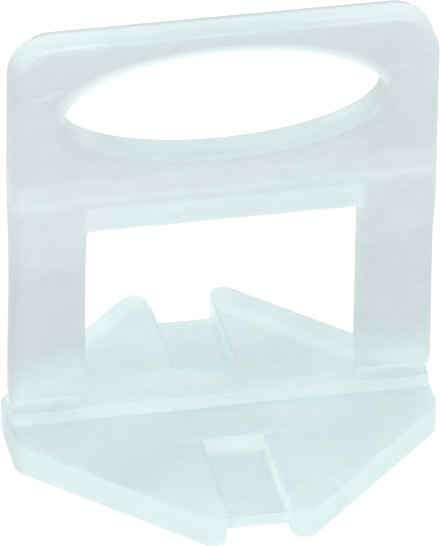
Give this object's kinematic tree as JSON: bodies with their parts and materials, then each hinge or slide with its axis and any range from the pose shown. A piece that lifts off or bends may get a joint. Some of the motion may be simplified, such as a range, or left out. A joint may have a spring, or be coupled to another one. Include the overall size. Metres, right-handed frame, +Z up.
{
  "type": "tile levelling clip",
  "caption": "One-piece clip whose base plate lies under two tiles, with two legs on break webs, a wedge window between them and a grip bar with an oval finger hole.",
  "frame": {"origin": "middle of the base plate's underside", "axes": "+Z up through the grip bar, X along the rib and the tile joint, -Y towards the side on which the grip bar stands proud"},
  "size_m": [0.0402, 0.0398, 0.0438],
  "materials": {
    "clip_body": "translucent natural polypropylene with a soft gloss"
  },
  "bodies": {
    "root": {"levelling_clip": "clip_body"}
  },
  "joints": []
}
